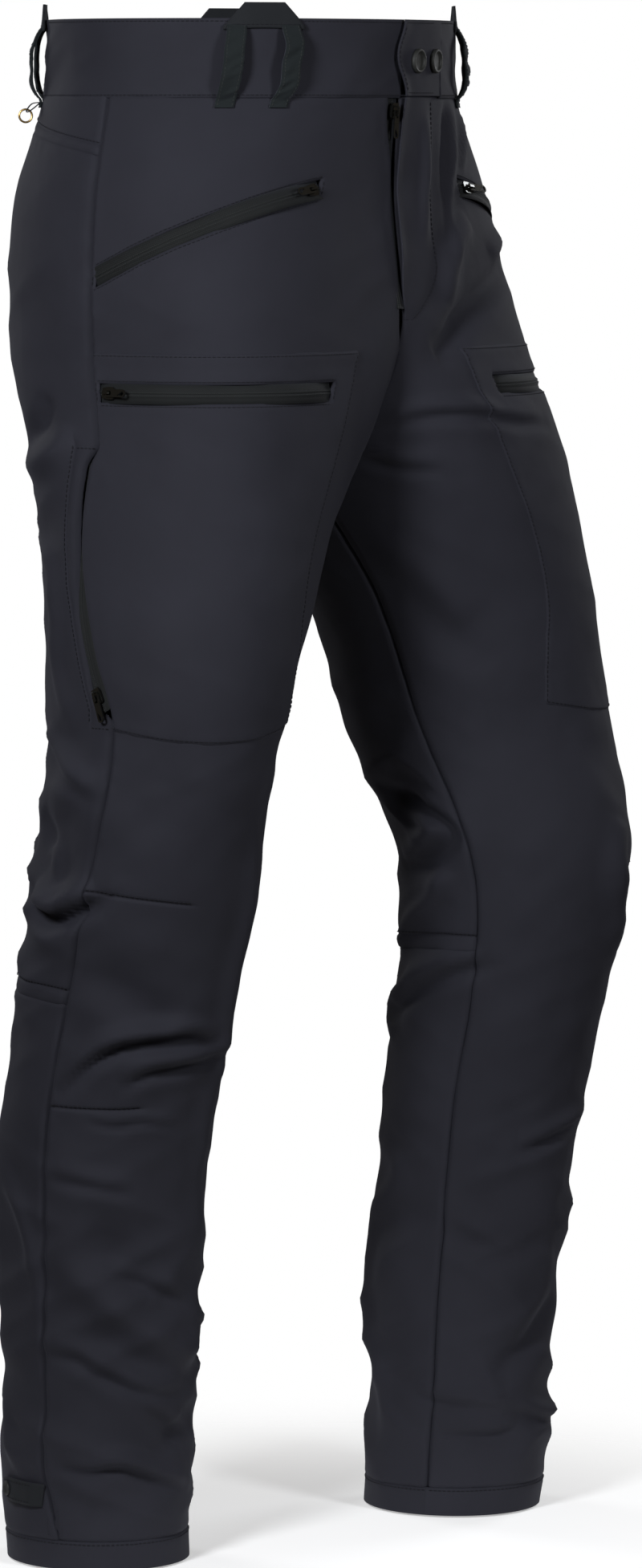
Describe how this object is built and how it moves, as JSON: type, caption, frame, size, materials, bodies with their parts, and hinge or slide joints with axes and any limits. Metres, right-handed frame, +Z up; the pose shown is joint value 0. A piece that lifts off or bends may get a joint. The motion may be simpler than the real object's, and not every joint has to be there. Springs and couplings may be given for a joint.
{
  "type": "forestry work trousers",
  "caption": "Long outdoor work trousers in a worn stance, with zipped hip and thigh pockets, zipped side vents, a stud and zip fly, paired brace loops and hem tabs.",
  "frame": {"origin": "on the floor under the middle of the box", "axes": "+Z up, the wearer faces -Y and the wearer's right is -X"},
  "size_m": [0.474, 0.3324, 1.066],
  "materials": {
    "shell": "matte woven softshell",
    "facing": "matte",
    "lining": "matte mesh",
    "webbing": "ribbed tape",
    "zip": "satin coil on woven tape",
    "slider": "glossy black",
    "stud": "satin dark grey",
    "brass": "worn"
  },
  "bodies": {
    "garment": {"front_hip_right": "shell", "thigh_pocket_right": "shell", "front_inner_right": "shell", "front_lower_leg_right": "shell", "back_yoke_right": "shell", "back_thigh_right": "shell", "back_calf_right": "shell", "hem_band_right": "shell", "hip_pocket_bag_right": "lining", "thigh_pocket_bag_right": "lining", "front_hip_left": "shell", "thigh_pocket_left": "shell", "front_inner_left": "shell", "front_lower_leg_left": "shell", "back_yoke_left": "shell", "back_thigh_left": "shell", "back_calf_left": "shell", "hem_band_left": "shell", "hip_pocket_bag_left": "lining", "thigh_pocket_bag_left": "lining", "waistband_right": "shell", "waistband_left": "shell", "waistband_facing": "facing", "waist_underlap": "shell", "fly_placket": "shell", "fly_underlap": "facing", "brace_loop_front_right": "webbing", "brace_loop_back_right": "webbing", "brace_loop_front_left": "webbing", "brace_loop_back_left": "webbing", "hip_zip_right": "zip", "hip_zip_left": "zip", "thigh_zip_right": "zip", "thigh_zip_left": "zip", "vent_zip_right": "zip", "vent_zip_left": "zip", "fly_zip": "zip"},
    "hip_slider_right": {"hip_slider_right": "slider"},
    "hip_pull_right": {"hip_pull_right": "slider"},
    "hip_slider_left": {"hip_slider_left": "slider"},
    "hip_pull_left": {"hip_pull_left": "slider"},
    "thigh_slider_right": {"thigh_slider_right": "slider"},
    "thigh_pull_right": {"thigh_pull_right": "slider"},
    "thigh_slider_left": {"thigh_slider_left": "slider"},
    "thigh_pull_left": {"thigh_pull_left": "slider"},
    "vent_slider_right": {"vent_slider_right": "slider"},
    "vent_pull_right": {"vent_pull_right": "slider"},
    "vent_slider_left": {"vent_slider_left": "slider"},
    "vent_pull_left": {"vent_pull_left": "slider"},
    "fly_slider": {"fly_slider": "slider"},
    "fly_pull": {"fly_pull": "slider"},
    "waist_flap": {"waist_flap": "shell", "waist_stud_1": "stud", "waist_stud_2": "stud"},
    "hem_tab_right": {"hem_tab_right": "webbing", "hem_stud_right": "stud"},
    "hem_tab_left": {"hem_tab_left": "webbing", "hem_stud_left": "stud"},
    "waist_ring": {"waist_ring": "brass"}
  },
  "joints": [
    {"name": "hip_zip_right_travel", "type": "hinge", "parent": "garment", "child": "hip_slider_right", "pos_m": [-0.0855, 0.01554, 0.89554], "axis": [-0.0981, 0.4036, 0.9097], "range_deg": [-85.77, 0]},
    {"name": "hip_pull_right_swing", "type": "hinge", "parent": "hip_slider_right", "child": "hip_pull_right", "pos_m": [-0.09442, -0.08738, 0.94035], "axis": [-0.0956, 0.4327, 0.8965], "range_deg": [0, 147]},
    {"name": "hip_zip_left_travel", "type": "hinge", "parent": "garment", "child": "hip_slider_left", "pos_m": [0.08515, 0.016, 0.8954], "axis": [-0.0965, -0.4035, -0.9099], "range_deg": [-85.5, 0]},
    {"name": "hip_pull_left_swing", "type": "hinge", "parent": "hip_slider_left", "child": "hip_pull_left", "pos_m": [0.09459, -0.08737, 0.9403], "axis": [-0.0953, -0.4164, -0.9042], "range_deg": [0, 147]},
    {"name": "thigh_zip_right_travel", "type": "hinge", "parent": "garment", "child": "thigh_slider_right", "pos_m": [-0.11225, -0.01007, 0.804], "axis": [0, 0, 1], "range_deg": [0, 108.11]},
    {"name": "thigh_pull_right_swing", "type": "hinge", "parent": "thigh_slider_right", "child": "thigh_pull_right", "pos_m": [-0.20417, 0.00572, 0.8044], "axis": [-0.1328, 0.0228, -0.9909], "range_deg": [0, 147]},
    {"name": "thigh_zip_left_travel", "type": "hinge", "parent": "garment", "child": "thigh_slider_left", "pos_m": [0.11241, -0.02465, 0.804], "axis": [0, 0, -1], "range_deg": [0, 108.11]},
    {"name": "thigh_pull_left_swing", "type": "hinge", "parent": "thigh_slider_left", "child": "thigh_pull_left", "pos_m": [0.20418, -0.00888, 0.805], "axis": [-0.33, -0.0567, 0.9423], "range_deg": [0, 147]},
    {"name": "vent_zip_right_travel", "type": "hinge", "parent": "garment", "child": "vent_slider_right", "pos_m": [-0.21538, -0.25996, 0.72593], "axis": [-0.9901, 0.0114, 0.1396], "range_deg": [-32.3, 0]},
    {"name": "vent_pull_right_swing", "type": "hinge", "parent": "vent_slider_right", "child": "vent_pull_right", "pos_m": [-0.23283, -0.00556, 0.60245], "axis": [0.1502, 0.8769, -0.4565], "range_deg": [0, 147]},
    {"name": "vent_zip_left_travel", "type": "hinge", "parent": "garment", "child": "vent_slider_left", "pos_m": [0.21129, -0.27501, 0.75208], "axis": [-0.9903, -0.0099, -0.1386], "range_deg": [-35.28, 0]},
    {"name": "vent_pull_left_swing", "type": "hinge", "parent": "vent_slider_left", "child": "vent_pull_left", "pos_m": [0.23306, -0.05359, 0.60192], "axis": [0.1357, -0.805, 0.5775], "range_deg": [0, 147]},
    {"name": "fly_zip_travel", "type": "hinge", "parent": "garment", "child": "fly_slider", "pos_m": [-0.00566, -0.52519, 0.94306], "axis": [-1, -0.0029, -0.0001], "range_deg": [0, 15.94]},
    {"name": "fly_pull_swing", "type": "hinge", "parent": "fly_slider", "child": "fly_pull", "pos_m": [-0.0069, -0.09513, 0.9927], "axis": [-1, -0.008, -0.0007], "range_deg": [0, 147]},
    {"name": "waist_flap_open", "type": "hinge", "parent": "garment", "child": "waist_flap", "pos_m": [0.0522, -0.0903, 1.03], "axis": [0, 0, 1], "range_deg": [0, 115]},
    {"name": "hem_tab_right_open", "type": "hinge", "parent": "garment", "child": "hem_tab_right", "pos_m": [-0.2146, 0.0565, 0.05], "axis": [0, 0, 1], "range_deg": [0, 110]},
    {"name": "hem_tab_left_open", "type": "hinge", "parent": "garment", "child": "hem_tab_left", "pos_m": [0.2147, -0.0403, 0.05], "axis": [0, 0, -1], "range_deg": [0, 110]},
    {"name": "waist_ring_swing", "type": "hinge", "parent": "garment", "child": "waist_ring", "pos_m": [-0.13703, 0.12777, 0.99186], "axis": [0.7453, 0.6667, 0], "range_deg": [0, 80]}
  ]
}
